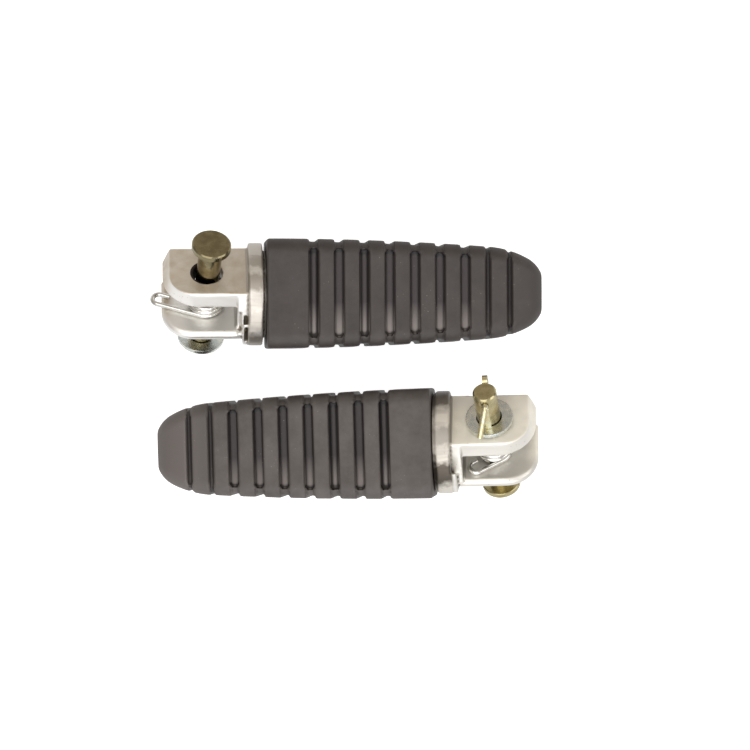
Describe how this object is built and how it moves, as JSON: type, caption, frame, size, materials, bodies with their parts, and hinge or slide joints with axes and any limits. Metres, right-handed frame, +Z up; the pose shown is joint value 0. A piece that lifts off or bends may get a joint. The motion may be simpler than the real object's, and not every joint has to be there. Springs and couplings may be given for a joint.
{
  "type": "motorcycle footpeg pair",
  "caption": "Pair of folding motorcycle footpegs: ribbed rubber sleeves on cast forks, each with a loose hinge pin, washer, split pin and return spring.",
  "frame": {"origin": "centre of the pair's bounding box, on the floor the two pegs lie on", "axes": "+X along the left peg from its hinge to its tip, +Y from the right peg toward the left peg, +Z up, away from the floor"},
  "size_m": [0.133, 0.0904, 0.0442],
  "materials": {
    "cast_aluminium": "ground and softly polished",
    "rubber": "matt, with a dusty bloom",
    "olive_zinc": "olive-yellow zinc plate, satin",
    "pale_zinc": "pale yellow zinc plate",
    "zinc": "clear zinc plate, satin",
    "bright_wire": "bright plated spring wire"
  },
  "bodies": {
    "pegs": {"left_casting": "cast_aluminium", "left_rubber": "rubber", "right_casting": "cast_aluminium", "right_rubber": "rubber"},
    "left_washer": {"left_washer": "zinc"},
    "left_pin": {"left_pin": "olive_zinc", "left_split_pin": "pale_zinc"},
    "left_spring": {"left_spring": "bright_wire"},
    "right_washer": {"right_washer": "zinc"},
    "right_pin": {"right_pin": "olive_zinc", "right_split_pin": "pale_zinc"},
    "right_spring": {"right_spring": "bright_wire"}
  },
  "joints": [
    {"name": "left_pin_slide", "type": "slide", "parent": "pegs", "child": "left_washer", "axis": [0.1162, 0.6629, 0.7396], "range_m": [-0.0113, 0.0088]},
    {"name": "left_pin_spin", "type": "hinge", "parent": "left_washer", "child": "left_pin", "pos_m": [-0.04744, 0.02409, 0.02122], "axis": [0.1162, 0.6629, 0.7396], "continuous": true},
    {"name": "left_spring_swing", "type": "hinge", "parent": "pegs", "child": "left_spring", "pos_m": [-0.04744, 0.02409, 0.02122], "axis": [0.0467, 0.6642, 0.7461], "range_deg": [-8, 110]},
    {"name": "right_pin_spin", "type": "hinge", "parent": "pegs", "child": "right_washer", "pos_m": [0.05006, -0.02551, 0.02184], "axis": [-0.1448, 0.6347, 0.759], "continuous": true},
    {"name": "right_pin_slide", "type": "slide", "parent": "right_washer", "child": "right_pin", "axis": [-0.1448, 0.6347, 0.759], "range_m": [0, 0.0098]},
    {"name": "right_spring_swing", "type": "hinge", "parent": "pegs", "child": "right_spring", "pos_m": [0.05006, -0.02551, 0.02184], "axis": [-0.0755, 0.6383, 0.7661], "range_deg": [-8, 8]}
  ]
}
